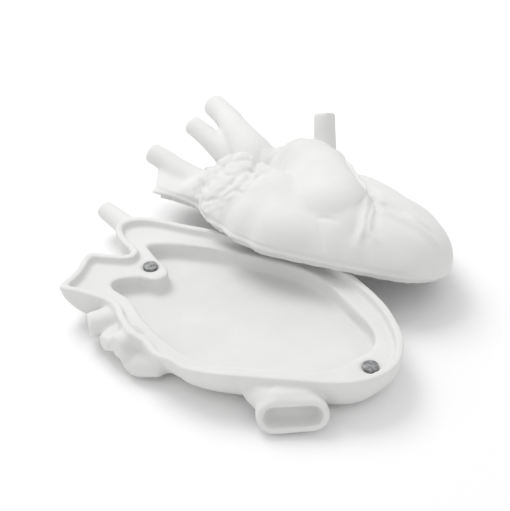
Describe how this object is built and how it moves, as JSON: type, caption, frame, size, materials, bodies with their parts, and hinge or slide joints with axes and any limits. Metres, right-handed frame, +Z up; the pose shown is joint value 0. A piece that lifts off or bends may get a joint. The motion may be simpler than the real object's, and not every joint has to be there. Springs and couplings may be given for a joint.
{
  "type": "trinket box",
  "caption": "Two-part white porcelain trinket box in the shape of an anatomical heart, with a magnetic lid resting ajar against its tray.",
  "frame": {"origin": "on the tray's flat foot, near its middle", "axes": "+X from the vessels to the apex, +Z up out of the open tray, +Y towards the leaning lid"},
  "size_m": [0.2071, 0.1883, 0.0524],
  "materials": {
    "porcelain": "matt bisque",
    "magnet_nickel": "nickel plated, scuffed",
    "adhesive": "cured epoxy"
  },
  "bodies": {
    "tray": {"tray": "porcelain", "tray_magnet_left": "magnet_nickel", "tray_magnet_right": "magnet_nickel", "tray_glue_left": "adhesive", "tray_glue_right": "adhesive"},
    "lid": {"lid": "porcelain", "lid_magnet_left": "magnet_nickel", "lid_magnet_right": "magnet_nickel", "lid_glue_left": "adhesive", "lid_glue_right": "adhesive"}
  },
  "joints": [
    {"name": "lid_lift", "type": "slide", "parent": "tray", "child": "lid", "axis": [0, 0, 1], "range_m": [0, 0.12]}
  ]
}
